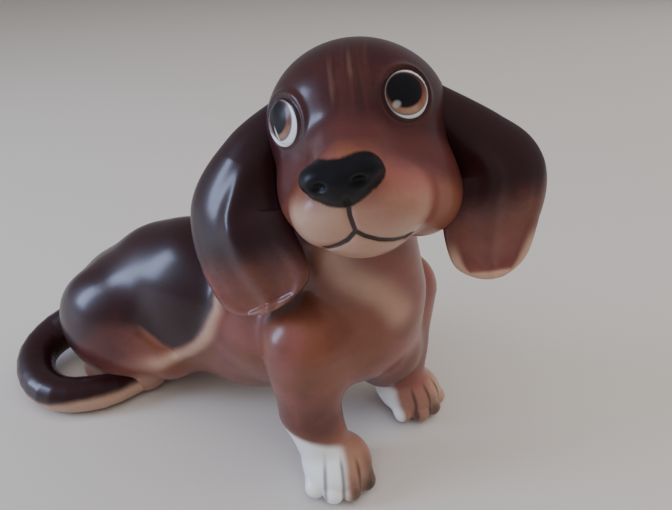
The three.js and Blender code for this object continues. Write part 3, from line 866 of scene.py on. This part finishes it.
class PUPPY_OT_tail(bpy.types.Operator):
    """Model the tail"""
    bl_idname = "puppy.tail"
    bl_label = "Tail"

    def execute(self, context):
        def field(p):
            """The tail where it runs into the torso."""
            return joined(p, tail_mass(p), [(torso_mass, RUMP_BLEND)])
        points = wrapped(field, TAIL_PATH, 220, 110, fan=0.1)
        make_piece("tail_skin", points, "tail", material("stained_glaze"), tail_masks)
        return {"FINISHED"}


# ---- the stage ----
# The lights aim at the puppy's middle (metres). The camera stands off its right front (millimetres) and looks
# down 29 degrees.
PUPPY_MIDDLE = np.array([-0.005, -0.01, 0.05])
# The camera stands before the puppy's right front, in the figurine's own axes, and looks down 29 degrees
CAMERA_PLACE = np.array([-98.7, -96.4, 120.0])
CAMERA_TURN = (61, 0, -55)
CAMERA_LENS, CAMERA_SENSOR = 31.18, 36.0


def bearing(azimuth, elevation, distance):
    """A place by its direction, in degrees, and its distance: the usual sines and cosines."""
    a, e = math.radians(azimuth), math.radians(elevation)
    level = distance * math.cos(e)
    return np.array([level * math.cos(a), level * math.sin(a), distance * math.sin(e)])


def soft_light(name, offset, size, power, colour):
    """A rectangular light that stands off the puppy's middle and faces it."""
    data = bpy.data.lights.new(name, "AREA")
    data.shape, data.size, data.size_y = "RECTANGLE", size[0], size[1]
    data.energy, data.color = power, colour
    light = bpy.data.objects.new(name, data)
    bpy.context.scene.collection.objects.link(light)
    light.location = tuple(STAND * MM + PUPPY_MIDDLE + offset)
    light.rotation_mode = "QUATERNION"
    light.rotation_quaternion = Vector(-offset).to_track_quat("-Z", "Y")
    return light


def lay_floor(half_width=2.0, panes=8):
    """A flat pale floor of square panes, a tenth of a millimetre under the puppy."""
    x, y = np.meshgrid(*[np.linspace(-half_width, half_width, panes + 1)] * 2)
    verts = np.stack([x, y, np.full_like(x, -0.0001)], -1).reshape(-1, 3)
    i, j = np.meshgrid(np.arange(panes), np.arange(panes), indexing="ij")
    a = i * (panes + 1) + j
    faces = np.stack([a, a + 1, a + panes + 2, a + panes + 1], -1).reshape(-1, 4)
    mesh = bpy.data.meshes.new("floor")
    mesh.from_pydata(verts.tolist(), [], faces.tolist())
    plain = Shader("pale_floor")
    finish = {"Base Color": (0.62, 0.58, 0.54, 1), "Roughness": 0.6}
    bsdf = plain.node("ShaderNodeBsdfPrincipled", None, finish)
    plain.node("ShaderNodeOutputMaterial", None, {0: bsdf.outputs[0]})
    mesh.materials.append(plain.material)
    floor = bpy.data.objects.new("floor", mesh)
    bpy.context.scene.collection.objects.link(floor)
    return floor


class PUPPY_OT_stage(bpy.types.Operator):
    """Set out the floor, the lights and the camera"""
    bl_idname = "puppy.stage"
    bl_label = "Stage"

    def execute(self, context):
        scene = context.scene
        floor = lay_floor()

        scene.world = bpy.data.worlds.new("studio")
        scene.world.use_nodes = True
        background = scene.world.node_tree.nodes["Background"]
        background.inputs[0].default_value = (0.80, 0.82, 0.88, 1)
        background.inputs[1].default_value = 0.30

        soft_light("window", bearing(134, 20, 0.62), (0.17, 0.34), 3.0, (0.55, 0.68, 1.0))
        for light in (soft_light("ceiling", bearing(-140, 72, 1.3), (1.6, 1.6), 14.0, (1.0, 0.97, 0.94)),
                      soft_light("room_fill", bearing(-38, 30, 1.2), (1.4, 1.4), 8.0, (1.0, 0.93, 0.87))):
            light.visible_glossy = False  # they brighten the stains without veiling the glaze

        data = bpy.data.cameras.new("camera")
        data.sensor_width, data.lens = CAMERA_SENSOR, CAMERA_LENS
        data.clip_start, data.clip_end = 0.005, 10.0
        camera = bpy.data.objects.new("camera", data)
        scene.collection.objects.link(camera)
        camera.location = tuple((CAMERA_PLACE + STAND) * MM)
        camera.rotation_euler = tuple(math.radians(turn) for turn in CAMERA_TURN)
        scene.camera = camera
        return {"FINISHED"}


class PUPPY_PT_panel(bpy.types.Panel):
    """The puppy's sizes, glazes and pieces"""
    bl_idname = "PUPPY_PT_panel"
    bl_label = "Ceramic Puppy"
    bl_space_type = "VIEW_3D"
    bl_region_type = "UI"
    bl_category = "Puppy"

    def draw(self, context):
        for group in (context.scene.puppy_sizes, context.scene.puppy_glaze):
            for key in group.__annotations__:
                self.layout.prop(group, key)
        for operator in OPERATORS:
            self.layout.operator(operator.bl_idname)


OPERATORS = (PUPPY_OT_torso, PUPPY_OT_head, PUPPY_OT_ears, PUPPY_OT_forelegs, PUPPY_OT_hind_legs,
             PUPPY_OT_tail, PUPPY_OT_stage)
CLASSES = (PuppySizes, PuppyGlaze, *OPERATORS, PUPPY_PT_panel)


def register():
    for cls in CLASSES:
        bpy.utils.register_class(cls)
    bpy.types.Scene.puppy_sizes = bpy.props.PointerProperty(type=PuppySizes)
    bpy.types.Scene.puppy_glaze = bpy.props.PointerProperty(type=PuppyGlaze)


def unregister():
    del bpy.types.Scene.puppy_glaze
    del bpy.types.Scene.puppy_sizes
    for cls in reversed(CLASSES):
        bpy.utils.unregister_class(cls)


def main():
    """Registers the add-on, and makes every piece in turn."""
    register()
    for operator in OPERATORS:
        category, name = operator.bl_idname.split(".")
        getattr(getattr(bpy.ops, category), name)()


if __name__ == "__main__":
    main()
